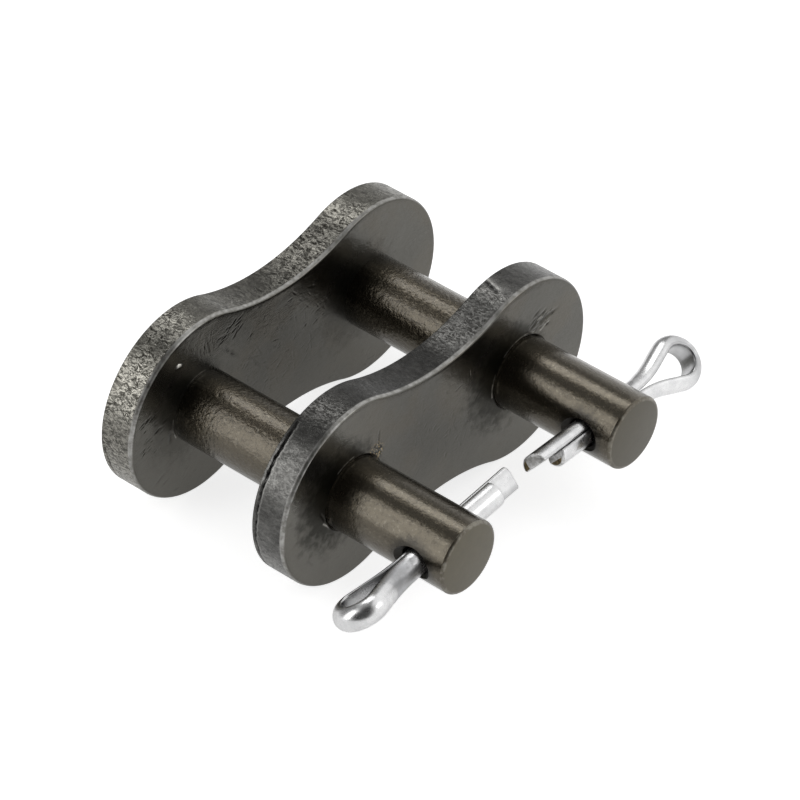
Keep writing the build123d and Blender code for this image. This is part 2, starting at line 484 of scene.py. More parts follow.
def link_plate(name, node, body, low, high, bore_radius, lip, finish, material):
    """One plate, with its rounded front edge, its sheared wall, its faces and its bores."""
    front_y, back_y = low.y, high.y
    mottle_stations, tone_and_light_stations, marks, folded, notch = finish
    outline = plate_outline()
    count = len(outline)
    fold_rows = [back_y - fold_from_back + fold_width * (k / FOLD_ROWS - 0.5) * FOLD_ROWS_SPAN
                 for k in range(FOLD_ROWS + 1)]
    rows = edge_profile(front_y, back_y, fold_rows)
    lengths = [0.0]
    for (point, _), (following, _) in zip(outline, outline[1:]):
        lengths.append(lengths[-1] + (following - point).length)
    vertices, values, faces = [], [], []

    def add_vertex(x, y, z, wall=0.0, mottle=0.0, tone_and_light=1.0, rubbed_and_lit_rim=0.0, fold_light_and_shade=0.0, scar=0.0, bare_and_glinting=0.0):
        vertices.append((x, y, z))
        values.append((wall, mottle, tone_and_light, rubbed_and_lit_rim, fold_light_and_shade, scar, bare_and_glinting))
        return len(vertices) - 1

    # Round the edge, row by row
    for inset, depth in rows:
        for (point, normal), length in zip(outline, lengths):
            place = length / MM
            amount = rubbed_and_lit = dirt = 0.0
            if inset == 0:
                amount = fold_amount(point, depth, back_y, folded) + notch_amount(length, depth, back_y, notch)
            elif depth < front_y + rolled_edge:
                # The black is rubbed off along the rounding, whose paleness is also a painted highlight, and
                # dirt lies beside it on the face
                share = inset / rolled_width
                bare_and_lit = reading(RIM_BARE_AND_LIT, place)
                uneven = 1 + 0.35 * noise.noise(Vector((point.x, point.y, 0)) * 500)
                rubbed_and_lit = uneven * (reading(RIM_RUBBED_AND_LIT, share) + bare_and_lit * reading(RIM_INNER, share))
                dirt = (1 - bare_and_lit) * reading(RIM_DIRT, share)
            moved = point - normal * (inset + fold_depth * max(0.0, amount))
            add_vertex(moved.x, depth, moved.y, wall=max(0.0, 1 - inset / (0.35 * rolled_width)),
                       mottle=reading(mottle_stations, place), tone_and_light=reading(tone_and_light_stations, place),
                       rubbed_and_lit_rim=min(1.0, rubbed_and_lit), fold_light_and_shade=amount, scar=dirt)
    faces += bands(range(0, len(vertices), count), count)
    # Faces with their bores
    mouths = []
    for y, inset, at_back in ((front_y, rolled_width, False), (back_y, sheared_edge, True)):
        outer = [point - normal * inset for point, normal in outline]
        mouth = bore_radius + (0.0 if at_back else lip)
        bores = [[Vector((side * half_pitch + mouth * cos(angle), mouth * sin(angle)))
                  for angle in ring_angles(BORE_STEPS)] for side in (1, -1)]
        points, triangles = face_fill(outer, bores, () if at_back else marks)
        first = (len(rows) - 1) * count if at_back else 0
        index = list(range(first, first + count))
        for k, point in enumerate(points[count:], count):
            dip = deep = bright = 0.0
            if k >= count + 2 * BORE_STEPS:
                dip = 0.012 * MM * (1 + noise.noise(Vector((point.x, y, point.y)) * 380))
                if not at_back:
                    deep, bright = mark_at(marks, point.x / MM, point.y / MM)
            off = dip + deep * MM
            index.append(add_vertex(point.x, y - off if at_back else y + off, point.y,
                                    scar=min(1.0, max(0.0, deep / 0.05)), bare_and_glinting=bright))
        for triangle in triangles:
            corners = [index[k] for k in triangle]
            a, b, c = (Vector(vertices[k]) for k in corners)
            faces_back = (b - a).cross(c - a).y > 0
            faces.append(corners if faces_back == at_back else corners[::-1])
        mouths.append([index[count], index[count + BORE_STEPS]])
    # Bores, the cover plate's with a chamfered mouth, painted like the rim with a painted highlight
    for side, front_ring, back_ring in zip((1, -1), *mouths):
        rings = [front_ring, back_ring]
        if lip:
            rings.insert(1, len(vertices))
            for angle in ring_angles(BORE_STEPS):
                add_vertex(side * half_pitch + bore_radius * cos(angle), front_y + lip,
                           bore_radius * sin(angle), rubbed_and_lit_rim=1.0)
        faces += bands(rings, BORE_STEPS, flip=True)
    mesh = new_mesh(name, vertices, faces)
    for label, column in zip(PLATE_ATTRIBUTES, zip(*values)):
        set_attribute(mesh, label, column)
    shade_by_angle(mesh, 40)
    new_piece(name, mesh, body, node, [material])


# -------- pins
PIN_STEPS = 180
CUTTER_STEPS = 72
CUTTER_PHASE = 0.3  # off the pin's own lines, against slivers
SHAFT_ROWS = 40


def revolved(name, profile, steps, placed, phase=0.0, flip=False):
    """A closed solid of revolution from rings of (radius, height). placed: where a point of it lies."""
    vertices = [placed(radius * cos(angle), radius * sin(angle), height)
                for radius, height in profile for angle in ring_angles(steps, phase)]
    faces = bands(range(0, len(vertices), steps), steps, flip)
    first, last = list(range(steps)), list(range(len(vertices) - steps, len(vertices)))
    faces += [first[::-1], last] if flip else [first, last[::-1]]
    return new_mesh(name, vertices, faces)


def hole_cutter(centre, direction):
    """What the drill and the countersink take out of a pin."""
    reach = pin_radius + 1.5 * MM
    flat = pin_radius - (cotter_mouth_radius - cotter_hole_radius)
    wide = cotter_mouth_radius + reach - pin_radius
    profile = [(wide, -reach), (cotter_hole_radius, -flat), (cotter_hole_radius, flat), (wide, reach)]
    place = Matrix.Translation(centre) @ direction.to_track_quat("Z", "Y").to_matrix().to_4x4()
    mesh = revolved("hole_cutter", profile, CUTTER_STEPS, lambda x, y, z: place @ Vector((x, y, z)),
                    CUTTER_PHASE, flip=True)
    return new_object("hole_cutter", mesh)


def pin_profile():
    """(radius, y) points along a pin, from its free end to its riveted head."""
    back_y = back_high.y
    chamfer = pin_end_chamfer
    # The chamfer is worn round between two fine edges
    profile = [(pin_radius - chamfer - arris, pin_end_y)]
    turns = 5
    for step in range(turns + 1):
        angle = pi / 2 * (0.25 + 0.6 * step / turns)
        profile.append((pin_radius - chamfer * (1 - sin(angle)), pin_end_y + chamfer * (1 - cos(angle))))
    shaft_start = pin_end_y + chamfer
    for step in range(SHAFT_ROWS + 1):
        profile.append((pin_radius, shaft_start + (back_y - shaft_start) * step / SHAFT_ROWS))
    head_radius = pin_radius + rivet_spread
    profile += [(head_radius - rivet_foot, back_y), (head_radius, back_y + rivet_foot_height)]
    for angle in quarter_turn(6):
        profile.append((head_radius - rivet_rounding * (1 - cos(angle)),
                        rivet_end_y - rivet_rounding * (1 - sin(angle))))
    return profile


def bearing_pin(name, node, centre_x, direction, materials):
    """A pin with its drilled and countersunk free end and its riveted head."""
    pin = new_object(name, revolved(name, pin_profile(), PIN_STEPS, lambda x, z, y: (centre_x + x, y, z)))
    hole_centre = Vector((centre_x, cotter_y, 0))
    cutter = hole_cutter(hole_centre, direction)
    cut = pin.modifiers.new("hole", "BOOLEAN")
    cut.operation = "DIFFERENCE"
    cut.solver = "EXACT"
    cut.object = cutter
    bpy.context.view_layer.update()
    mesh = bpy.data.meshes.new_from_object(pin.evaluated_get(bpy.context.evaluated_depsgraph_get()))
    bpy.data.objects.remove(pin)
    bpy.data.objects.remove(cutter)
    mesh.name = name
    mesh.materials.clear()
    for polygon in mesh.polygons:
        offset = polygon.center - hole_centre
        from_hole = (offset - direction * offset.dot(direction)).length
        from_axis = hypot(offset.x, offset.z)
        polygon.material_index = int(from_hole < cotter_mouth_radius * 1.02 and from_axis < pin_radius * 0.99)
    heights = [vertex.co.y - pin_end_y for vertex in mesh.vertices]
    set_attribute(mesh, "on_end", [float(height < 0.01 * MM) for height in heights])
    set_attribute(mesh, "worn", [float(0.02 * MM < height < pin_end_chamfer - 0.02 * MM) for height in heights])
    shade_by_angle(mesh, 25)
    new_piece(name, mesh, "link", node, materials)


# -------- split cotters
# How a tip is cut: its rounding, then the facet's lean across and sideways, where it starts and its slope
Tip = namedtuple("Tip", "rounding across sideways start slope")
ZINC, CUT_END, CUT_FACET = range(3)  # a cotter's materials, in order


def wire_section():
    """Half-round section with rounded corners: x points out of the fold, y to the side."""
    corner = wire_corner
    centre_y = wire_radius - corner * 1.08
    start = asin(centre_y / (wire_radius - corner))
    points = []
    steps = 26
    for step in range(steps + 1):
        angle = -start + 2 * start * step / steps
        points.append(Vector((wire_radius * cos(angle), wire_radius * sin(angle))))
    corner_centre = Vector(((wire_radius - corner) * cos(start), (wire_radius - corner) * sin(start)))
    turns = 5
    rounding = [corner_centre + corner * unit(start + (pi - start) * step / turns)
                for step in range(1, turns + 1)]
    flat_x = corner_centre.x - corner
    flat = [Vector((flat_x, corner_centre.y * share)) for share in (0.5, 0.0, -0.5)]
    points += rounding + flat + [Vector((point.x, -point.y)) for point in reversed(rounding)]
    return [point - Vector((flat_x, 0)) for point in points]


def cotter_path(neck_reach):
    """The wire's flat in the loop's plane, from the long tip: place, direction and length so far."""
    half_gap = leg_gap / 2
    flare_rise = flare_radius * (1 - cos(flare_turn))
    arm = (eye_radius * cos(flare_turn) - half_gap - flare_rise) / sin(flare_turn)
    place = Vector((neck_reach - long_leg, half_gap))
    heading = length = 0.0
    path = [(place.copy(), heading, length)]

    def straight(run, steps):
        nonlocal place, length
        for _ in range(steps):
            place += unit(heading) * run / steps
            length += run / steps
            path.append((place.copy(), heading, length))

    def bend(radius, turn, steps):
        nonlocal place, heading, length
        side = 1 if turn > 0 else -1
        for _ in range(steps):
            centre = place + left_of(heading) * radius * side
            heading += turn / steps
            place = centre - left_of(heading) * radius * side
            length += abs(turn) / steps * radius
            path.append((place.copy(), heading, length))

    straight(long_leg, 60)
    bend(flare_radius, flare_turn, 16)
    straight(arm, 8)
    bend(eye_radius, -pi - 2 * flare_turn, 64)
    straight(arm, 8)
    bend(flare_radius, flare_turn, 16)
    straight(long_leg - leg_step, 50)
    return path


def split_cotter(name, node, body, centre_x, out, eye_turn, neck_reach, side_lie, tips, materials):
    """A cotter swept along its fold, from the long leg's tip to the short one's."""
    loop_normal = Matrix.Rotation(eye_turn, 3, out) @ Vector((0, -1, 0))
    loop_up = loop_normal.cross(out)
    origin = Vector((centre_x, cotter_y + side_lie, 0))
    section = wire_section()
    size = len(section)
    core = Vector((wire_radius * 0.42, 0))
    path = cotter_path(neck_reach)
    total = path[-1][2]
    settle = 1.5 * MM  # the rings near a tip are drawn back over this length
    vertices, faces, corner = [], [], []

    def add_ring(place, heading, tip, cut_share, rounding, drawn_in):
        """One ring of the wire, drawn back by a share of its tip's rounding and facet."""
        inward = unit(heading) * (1 if tip is tips[0] else -1)
        outward = left_of(heading)
        start = len(vertices)
        for point in section:
            inner = point + (core - point).normalized() * drawn_in
            facet = tip.slope * max(0.0, tip.across * inner.x + tip.sideways * inner.y - tip.start)
            spot = place + outward * inner.x + inward * (cut_share * (rounding + facet))
            vertices.append(origin + out * spot.x + loop_up * spot.y + loop_normal * inner.y)
            # Corners along the flat, where the legs meet, carry painted shade in the material
            at_corner = abs(point.y) > wire_radius - 1.9 * wire_corner and point.x < 1.6 * wire_corner
            corner.append(float(at_corner))
        return start

    rings = []
    for place, heading, length in path:
        first = length < total / 2
        tip = tips[0] if first else tips[1]
        share = max(0.0, 1 - (length if first else total - length) / settle)
        rings.append(add_ring(place, heading, tip, share, tip.rounding, 0.0))
    faces += bands(rings, size, flip=True)
    cut_faces = []
    for end, tip in zip((0, -1), tips):
        place, heading, _ = path[end]
        previous = rings[end]
        for angle in quarter_turn(4)[1:]:
            ring = add_ring(place, heading, tip, 1.0, tip.rounding * (1 - sin(angle)),
                            tip.rounding * (1 - cos(angle)))
            if tip.rounding > wire_corner:
                cut_faces += [(len(faces) + k, CUT_FACET) for k in range(size)]
            faces += bands([previous, ring], size, flip=True)
            previous = ring
        on_facet = [tip.across * point.x + tip.sideways * point.y > tip.start for point in section]
        starts = [k for k in range(size) if on_facet[k] and not on_facet[k - 1]]
        if starts:
            # The end is in two parts, the facet and what it leaves
            begin = starts[0] - 1
            run = 1
            while on_facet[(begin + run) % size]:
                run += 1
            cut_faces += [(len(faces), CUT_FACET), (len(faces) + 1, CUT_END)]
            faces.append(tuple(previous + (begin + k) % size for k in range(run + 1)))
            faces.append(tuple(previous + (begin + run + k) % size for k in range(size - run + 1)))
        else:
            cut_faces.append((len(faces), CUT_END))
            faces.append(tuple(previous + k for k in range(size)))
    mesh = new_mesh(name, vertices, faces)
    set_attribute(mesh, "corner", corner)
    for face, index in cut_faces:
        mesh.polygons[face].material_index = index
    work = bmesh.new()
    work.from_mesh(mesh)
    bmesh.ops.recalc_face_normals(work, faces=work.faces)
    work.to_mesh(mesh)
    work.free()
    shade_by_angle(mesh, 35)
    new_piece(name, mesh, body, node, materials)


# -------- materials
class Nodes:
    """The node tree of a material or a world."""

    def __init__(self, owner):
        owner.use_nodes = True
        self.tree = owner.node_tree

    def node(self, kind, inputs=None, **settings):
        made = self.tree.nodes.new(kind)
        for key, value in settings.items():
            setattr(made, key, value)
        for key, value in (inputs or {}).items():
            self.feed(made.inputs[key], value)
        return made

    def feed(self, socket, value):
        if isinstance(value, bpy.types.NodeSocket):
            self.tree.links.new(value, socket)
        else:
            socket.default_value = value

    def maths(self, operation, *values, clamp=False):
        made = self.node("ShaderNodeMath", dict(enumerate(values)), operation=operation, use_clamp=clamp)
        return made.outputs[0]

    def plus(self, first, second):
        return self.maths("ADD", first, second)

    def minus(self, first, second, clamp=False):
        return self.maths("SUBTRACT", first, second, clamp=clamp)

    def times(self, first, second):
        return self.maths("MULTIPLY", first, second)

    def squares(self, first, second):
        return self.plus(self.maths("POWER", first, 2.0), self.maths("POWER", second, 2.0))

    def dot(self, vector, direction):
        made = self.node("ShaderNodeVectorMath", {0: vector, 1: direction}, operation="DOT_PRODUCT")
        return made.outputs["Value"]

    def ramp(self, value, low, high, start=0.0, end=1.0):
        """The value taken from low..high to start..end, held at both ends."""
        inputs = {"Value": value, "From Min": low, "From Max": high, "To Min": start, "To Max": end}
        return self.node("ShaderNodeMapRange", inputs, interpolation_type="SMOOTHSTEP").outputs[0]

    def mix(self, share, first, second):
        """A colour between two."""
        return self.node("ShaderNodeMix", {0: share, 6: first, 7: second}, data_type="RGBA").outputs[2]

    def over(self, colour, *layers):
        """A colour under layers of (share, colour)."""
        for share, layer in layers:
            colour = self.mix(share, colour, layer)
        return colour

    def blend(self, share, first, second):
        """A number between two."""
        return self.node("ShaderNodeMix", {0: share, 2: first, 3: second}, data_type="FLOAT").outputs[0]

    def rays(self):
        """Whether a ray is the camera's, or through glass, and whether it is a reflection's."""
        path = self.node("ShaderNodeLightPath").outputs
        return self.maths("MAXIMUM", path["Is Camera Ray"], path["Is Transmission Ray"]), path["Is Glossy Ray"]


class Shader(Nodes):
    """A material's node tree, with its principled shader and places in millimetres."""

    def __init__(self, name):
        self.material = bpy.data.materials.new(name)
        super().__init__(self.material)
        self.surface = self.tree.nodes["Principled BSDF"]
        self.place = self.scaled(self.node("ShaderNodeTexCoord").outputs["Object"], 1 / MM)

    def scaled(self, vector, factor):
        return self.node("ShaderNodeVectorMath", {0: vector, "Scale": factor}, operation="SCALE").outputs[0]

    def axes(self):
        return self.node("ShaderNodeSeparateXYZ", {0: self.place}).outputs

    def stretch(self, scale, turn=(0, 0, 0)):
        inputs = {"Vector": self.place, "Scale": scale, "Rotation": turn}
        return self.node("ShaderNodeMapping", inputs).outputs[0]

    def noise(self, scale, detail=3.0, rough=0.55, vector=None, distortion=0.0):
        inputs = {"Vector": vector or self.place, "Scale": scale, "Detail": detail, "Roughness": rough,
                  "Distortion": distortion}
        return self.node("ShaderNodeTexNoise", inputs).outputs["Fac"]

    def patchy(self, grain, low, high, start=0.0, end=1.0):
        """Noise of that scale, detail and roughness, taken from low..high to start..end."""
        return self.ramp(self.noise(*grain), low, high, start, end)

    def attribute(self, name):
        return self.node("ShaderNodeAttribute", attribute_name=name).outputs["Fac"]

    def bump(self, height, distance, strength=1.0, normal=None):
        """A relief of that distance in mm, on top of another one."""
        inputs = {"Height": height, "Distance": distance * MM, "Strength": strength}
        if normal:
            inputs["Normal"] = normal
        return self.node("ShaderNodeBump", inputs).outputs[0]

    def complete(self, colour, metallic, rough, normal):
        values = {"Base Color": colour, "Metallic": metallic, "Roughness": rough, "Normal": normal}
        for key, value in values.items():
            self.feed(self.surface.inputs[key], value)
        return self.material


def grey(value, warmth=0.0):
    """A grey with a warm or a cool cast."""
    return (value * (1 + 0.5 * warmth), value, value * (1 - 1.6 * warmth), 1.0)


# Colours, linear
WORN_BLACKING = (0.115, 0.100, 0.076, 1)
# Oil round the pins, with painted shade and a painted reflection of the pins in it
PLATE_OIL_AND_SHADE = (0.016, 0.0145, 0.009, 1)
GILT = (0.48, 0.36, 0.19, 1)
SOOT = (0.012, 0.010, 0.006, 1)
BROWNED = ((0.086, 0.073, 0.050, 1), (0.108, 0.092, 0.066, 1))
BROWN_BLOTCH = (0.055, 0.045, 0.03, 1)
BROWN_STROKE = (0.045, 0.038, 0.026, 1)
DARK_FLECK = (0.05, 0.04, 0.026, 1)
PALE_FLECK = (0.21, 0.19, 0.15, 1)
# Oil on the pins by the back plate, with painted shade where they meet it
PIN_OIL_AND_SHADE = (0.018, 0.016, 0.010, 1)
# Painted shade round the mouth of a pin's drilled hole
PAINTED_MOUTH_SHADE = (0.02, 0.017, 0.012, 1)
PIN_END = ((0.070, 0.058, 0.030, 1), (0.092, 0.077, 0.042, 1))
WORN_CHAMFER = (0.24, 0.225, 0.185, 1)
# Oil and painted shade in the drilled holes
HOLE_OIL_AND_SHADE = ((0.012, 0.011, 0.009, 1), (0.028, 0.025, 0.02, 1))
CUT_STEEL = ((0.05, 0.036, 0.014, 1), (0.19, 0.145, 0.075, 1))

# The centre of the painted oil and shade round each pin
OIL_AND_SHADE_CENTRE = (2.4, 0.9)  # towards the middle of the plate from a pin's axis, and above it
GILT_CENTRE = (-9.5, 3.0)  # in the angle above pin A


def plate_material(name, wall_dark, wall_light, cast, oil_and_shade, specked, speckle_scale, scuffing):
    """Blackened, oiled sheet steel: scuffed faces, a mottled sheared wall and a rolled edge rubbed bright, with
    a painted highlight.
    """
    s = Shader(name)
    wall, rubbed_and_lit_rim, fold_light_and_shade = s.attribute("wall"), s.attribute("rubbed_and_lit_rim"), s.attribute("fold_light_and_shade")
    x, _, z = s.axes()
    # Faces, with painted light at the lobes and lower down, and scuffed
    painted_lobe_light = s.plus(s.ramp(x, -19.0, -3.0, 0.6, 0.0), s.ramp(x, 4.0, 19.0, 0.0, 0.08))
    scuffs = s.noise(1.9, 4, 0.65, s.stretch((0.55, 1.0, 2.6), (0, radians(28), 0)), 0.4)
    scuffed = s.patchy((0.3, 3, 0.6), 0.45, 0.62)
    face = s.over(
        s.mix(s.noise(0.22, 4, 0.6), grey(0.078, 0.08), grey(0.112, 0.07)),
        (s.times(s.patchy((0.16, 3, 0.55), 0.42, 0.62), 0.45), WORN_BLACKING),
        (s.patchy((5.0, 3, 0.6), 0.3, 0.75, 0.0, 0.22), grey(0.18, 0.03)),
        (painted_lobe_light, grey(0.19, 0.07)),
        # Painted light, lighter lower down
        (s.ramp(z, -9.0, 1.0, 0.62, 0.0), grey(0.17, 0.07)),
        (s.times(s.ramp(scuffs, 0.56, 0.68), s.blend(scuffed, 0.1, scuffing)), grey(0.04, 0.08)),
    )
    # Oil that has crept out round the pins, darkened further as painted shade where they meet the plate and as
    # a painted reflection of their dark sides
    side_x = s.plus(s.maths("MULTIPLY_ADD", s.maths("SIGN", x), -PIN_X, x), OIL_AND_SHADE_CENTRE[0])
    spread = s.maths("SQRT", s.squares(side_x, s.minus(z, OIL_AND_SHADE_CENTRE[1])))
    spread = s.plus(spread, s.patchy((0.9, 4, 0.55), 0.3, 0.7, -0.9, 0.9))
    oil_and_shade_mask = s.ramp(spread, 3.4, 7.4, oil_and_shade, 0.0)
    # Specks of gold and soot in the angle above a pin
    near = s.squares(s.minus(x, GILT_CENTRE[0]), s.minus(z, GILT_CENTRE[1]))
    near = s.ramp(near, 0.5, 1.9, specked, 0.0)
    face = s.over(
        face,
        (oil_and_shade_mask, PLATE_OIL_AND_SHADE),
        (s.times(s.attribute("scar"), 0.4), grey(0.02, 0.1)),
        # Pale where marks are bare, and painted highlights along the arcs round the pins
        (s.attribute("bare_and_glinting"), grey(0.62, 0.05)),
        (s.times(near, s.patchy((4.5, 3, 0.6), 0.54, 0.58)), GILT),
        (s.times(near, s.patchy((3.8, 3, 0.6, s.stretch((1.3, 1.0, 1.0))), 0.53, 0.58)), SOOT),
    )
    # Wall, speckled and veined where it is mottled
    across = s.stretch((1.0, 0.5, 1.0))
    speckle = s.noise(speckle_scale, 5, 0.8, across, 0.8)
    specks = s.ramp(speckle, 0.45, 0.55)
    veins = s.maths("ABSOLUTE", s.minus(s.noise(2.7, 4, 0.65, across, 1.0), 0.5))
    mottled = s.mix(specks, grey(wall_dark * 0.28, cast + 0.05), grey(wall_light * 1.85, cast))
    mottled = s.mix(s.ramp(veins, 0.0, 0.03, 0.8, 0.0), mottled, grey(0.015, cast + 0.05))
    plain = s.patchy((1.6, 6, 0.75, across, 0.5), 0.3, 0.7)
    plain = s.mix(plain, grey(wall_dark * 0.8, cast), grey(wall_light * 1.15, cast))
    plain = s.mix(s.ramp(veins, 0.0, 0.02, 0.3, 0.0), plain, grey(0.03, cast))
    mottling = s.times(s.attribute("mottle"), s.patchy((0.5, 3, 0.6), 0.3, 0.62, 0.45, 1.0))
    # The tone is partly the wall's own and partly painted light and shade
    side = s.scaled(s.mix(mottling, plain, mottled), s.attribute("tone_and_light"))
    # The rubbed rim with its painted highlight, and the fold in the wall with painted shade in it and a painted
    # highlight on its lip
    edge = s.mix(s.patchy((1.5, 5, 0.65), 0.3, 0.68), grey(0.2, 0.05), grey(0.5, 0.02))
    colour = s.over(
        s.mix(wall, face, s.mix(rubbed_and_lit_rim, side, edge)),
        (s.times(rubbed_and_lit_rim, s.minus(1.0, wall)), edge),
        (s.maths("MAXIMUM", fold_light_and_shade, 0.0), grey(0.01)),
        (s.maths("MULTIPLY", fold_light_and_shade, -1.0, clamp=True), grey(0.34, cast)),
    )
    rough_face = s.blend(oil_and_shade_mask, s.patchy((0.9, 5, 0.65), 0.3, 0.7, 0.18, 0.26), 0.4)
    rough = s.blend(wall, rough_face, s.blend(specks, 0.42, 0.24))
    rough = s.blend(rubbed_and_lit_rim, rough, 0.4)
    # Relief
    off_rim = s.minus(1.0, rubbed_and_lit_rim)
    relief = s.bump(s.noise(0.7, 3, 0.5), 0.04, 0.6)
    pitted = s.times(off_rim, s.blend(scuffed, 0.3, 0.3 + scuffing))
    relief = s.bump(s.noise(2.2, 5, 0.65), 0.045, pitted, relief)
    relief = s.bump(scuffs, 0.03, s.times(off_rim, s.blend(scuffed, 0.2, 1.6 * scuffing)), relief)
    relief = s.bump(s.noise(9.0, 3, 0.6), 0.004, 0.5, relief)
    relief = s.bump(s.times(s.times(speckle, mottling), s.minus(wall, rubbed_and_lit_rim, clamp=True)), 0.05, 0.8, relief)
    return s.complete(colour, 0.95, rough, relief)


def pin_material(name, mouth_z, end_light):
    """Hardened steel, browned and oiled: satin, finely grained, with painted shade round the drilled hole and
    by the back plate.
    """
    s = Shader(name)
    on_end, chamfer = s.attribute("on_end"), s.attribute("worn")
    _, y, z = s.axes()
    lengthwise = s.stretch((1.0, 0.35, 1.0))
    blotches = s.noise(2.2, 5, 0.65, lengthwise, 0.8)
    strokes = s.noise(1.6, 5, 0.7, s.stretch((1.0, 3.0, 1.0)), 0.3)
    flecks = s.noise(3.8, 4, 0.62, s.stretch((1.0, 0.7, 1.0)), 0.5)
    dents = s.noise(2.6, 1.5, 0.5, s.stretch((1.0, 0.8, 1.0)), 0.3)
    # Oil towards the back plate, darkened further as painted shade where the pin meets it, and painted shade
    # round the hole's mouth
    plate_face = back_low.y / MM
    oil_and_shade = s.plus(y, s.patchy((1.1, 4, 0.65), 0.3, 0.7, -0.9, 0.9))
    from_mouth = s.maths("SQRT", s.squares(s.minus(y, cotter_y / MM), s.minus(z, mouth_z)))
    from_mouth = s.plus(from_mouth, s.patchy((1.6, 4, 0.6), 0.3, 0.7, -0.2, 0.2))
    colour = s.over(
        s.mix(s.noise(0.5, 4, 0.6, lengthwise), *BROWNED),
        (s.ramp(blotches, 0.5, 0.75, 0.0, 0.5), BROWN_BLOTCH),
        (s.ramp(strokes, 0.52, 0.7, 0.0, 0.4), BROWN_STROKE),
        (s.ramp(flecks, 0.56, 0.66, 0.0, 0.5), DARK_FLECK),
        (s.ramp(flecks, 0.34, 0.42, 0.5, 0.0), PALE_FLECK),
        (s.ramp(oil_and_shade, plate_face - 3.2, plate_face + 0.2, 0.0, 0.75), PIN_OIL_AND_SHADE),
        (s.ramp(from_mouth, 2.1, 3.2, 0.8, 0.0), PAINTED_MOUTH_SHADE),
        (on_end, s.scaled(s.mix(s.noise(1.2, 4, 0.6), *PIN_END), end_light)),
        (s.times(chamfer, s.patchy((0.9, 4, 0.65), 0.42, 0.62, 0.05, 0.8)), WORN_CHAMFER),
    )
    rough = s.plus(s.ramp(blotches, 0.3, 0.75, 0.16, 0.26), s.ramp(strokes, 0.45, 0.7, 0.0, 0.08))
    rough = s.blend(s.maths("MAXIMUM", on_end, chamfer), rough, 0.42)
    # Relief: leathery between the plates, smoother outside them, and nearly flat on the end
    skin = s.minus(1.0, s.times(on_end, 0.8))
    along = s.plus(y, s.patchy((0.45, 3, 0.6), 0.3, 0.7, -3.5, 3.5))
    leathery = s.ramp(along, -7.0, -2.5, 0.35, 1.0)
    on_skin = s.times(skin, leathery)
    relief = s.bump(blotches, 0.018, s.times(skin, 0.8))
    relief = s.bump(strokes, 0.03, s.times(skin, s.times(leathery, 0.8)), relief)
    relief = s.bump(flecks, 0.03, on_skin, relief)
    relief = s.bump(dents, 0.055, on_skin, relief)
    # A film of oil
    s.surface.inputs["Coat Weight"].default_value = 0.6
    s.surface.inputs["Coat Roughness"].default_value = 0.2
    s.feed(s.surface.inputs["Coat Normal"], s.bump(dents, 0.045, on_skin))
    return s.complete(colour, 0.88, rough, relief)


def hole_material():
    """The drilled hole and its countersink, black with oil and painted shade."""
    s = Shader("oily_shaded_hole_steel")
    colour = s.mix(s.noise(1.5, 4, 0.6), *HOLE_OIL_AND_SHADE)
    rough = s.patchy((2.5, 3, 0.6), 0.3, 0.7, 0.35, 0.5)
    return s.complete(colour, 0.6, rough, s.bump(s.noise(4.0, 3, 0.6), 0.01, 0.6))


def zinc_material(name, light, dull_from, dull_to, dull_and_shaded_share):
    """Bright zinc-plated wire with painted shade along its corners, and dull from one x to another in mm,
    greyer there with painted shade.
    """
    s = Shader(name)
    clouds = s.patchy((0.9, 5, 0.65), 0.3, 0.7)
    colour = s.mix(clouds, grey(light * 0.83, -0.004), grey(light))
    # A dull patch, greyer partly as dull zinc and partly as painted shade over a reflection
    where = s.plus(s.axes()[0], s.patchy((0.9, 4, 0.6), 0.3, 0.7, -0.7, 0.7))
    dull_and_shaded = s.times(s.ramp(where, dull_from - 1.0, dull_from + 1.0, 0.0, dull_and_shaded_share),
                   s.ramp(where, dull_to - 0.7, dull_to + 0.7, 1.0, 0.0))
    colour = s.mix(dull_and_shaded, colour, s.mix(clouds, grey(0.34), grey(0.46, -0.02)))
    # Painted shade along the corners, in the crease between the legs
    colour = s.mix(s.times(s.attribute("corner"), 0.4), colour, grey(0.2))
    rough = s.blend(dull_and_shaded, s.patchy((1.1, 4, 0.6), 0.3, 0.7, 0.22, 0.32), 0.34)
    relief = s.bump(s.noise(1.1, 3, 0.5), 0.012, 0.5)
    return s.complete(colour, 1.0, rough, s.bump(s.noise(6.0, 3, 0.6), 0.004, 0.5, relief))


def cut_tip_material(name, dark, light):
    """The sheared ends of the wire, rough and mottled between two colours."""
    s = Shader(name)
    colour = s.mix(s.patchy((2.4, 4, 0.65), 0.35, 0.65), dark, light)
    rough = s.patchy((3.0, 3, 0.6), 0.3, 0.7, 0.38, 0.55)
    return s.complete(colour, 0.8, rough, s.bump(s.noise(3.5, 4, 0.6), 0.03, 0.8))


# -------- stage, light and camera
FLOOR_HALF_SIDE = 3.0
FLOOR_TO_CAMERA = 0.74
FLOOR_IN_REFLECTIONS = (0.3, 0.5)  # left behind and right in front
FLOOR_LEAN = (0.77, -0.64, 0)
AMBIENT = 0.4
LAMP_DISTANCE = 0.6
TOWARDS_CAMERA = (-0.603, -0.493, 0.627)
TENT_BRIGHT_SIDE = (0.78, -0.60, 0.18)
FRONT_SOFTBOX = (0.40, -0.70, 0.57)


